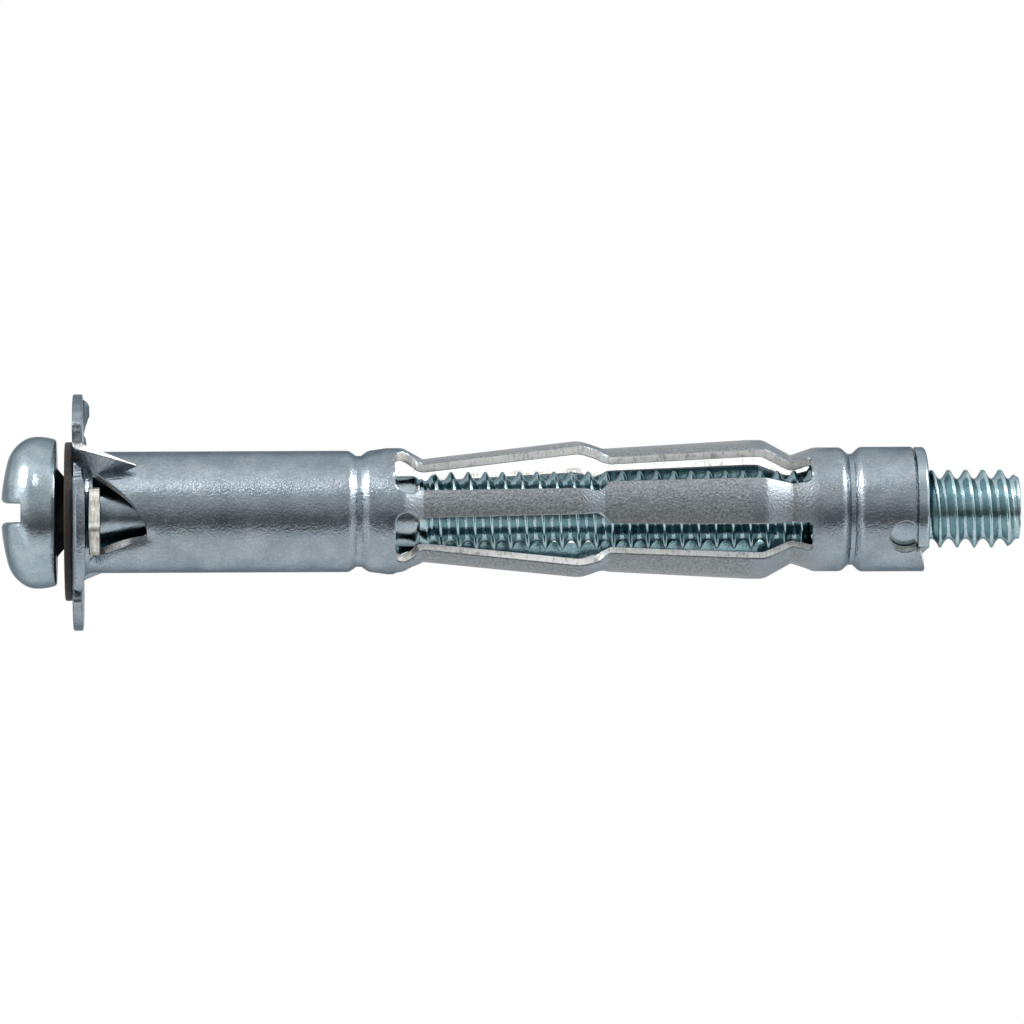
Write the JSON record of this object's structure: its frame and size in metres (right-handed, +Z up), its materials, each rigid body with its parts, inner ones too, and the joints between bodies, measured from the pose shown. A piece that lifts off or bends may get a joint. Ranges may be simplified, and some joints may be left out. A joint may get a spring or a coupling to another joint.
{
  "type": "hollow wall anchor",
  "caption": "Metal hollow wall anchor: slotted machine screw in a flanged sleeve whose slotted legs fold outwards behind the wall.",
  "frame": {"origin": "on the screw's axis, in the plane of the flange face that bears on the wall", "axes": "+X along the screw from head to tip, +Z up as the anchor lies with a gap of its flange straight down"},
  "size_m": [0.0628, 0.0146, 0.0142],
  "materials": {
    "plated_sheet": "zinc-plated sheet steel, cut edges bright",
    "plated_screw": "bright zinc-plated steel",
    "fibre": "dark vulcanised fibre, dull",
    "plated_nut": "zinc-plated steel"
  },
  "bodies": {
    "sleeve_and_nut": {"sleeve": "plated_sheet", "nut": "plated_nut"},
    "washer": {"fibre_washer": "fibre"},
    "screw": {"screw": "plated_screw"}
  },
  "joints": [
    {"name": "screw_travel", "type": "slide", "parent": "sleeve_and_nut", "child": "washer", "axis": [1, 0, 0], "range_m": [-0.0115, 0]},
    {"name": "screw_turn", "type": "hinge", "parent": "washer", "child": "screw", "pos_m": [0, 0, 0], "axis": [1, 0, 0], "range_deg": [-3913, 0]}
  ],
  "couplings": [
    {"joint": "screw_turn", "follows": "screw_travel", "rad_per_m": 5936.9}
  ]
}
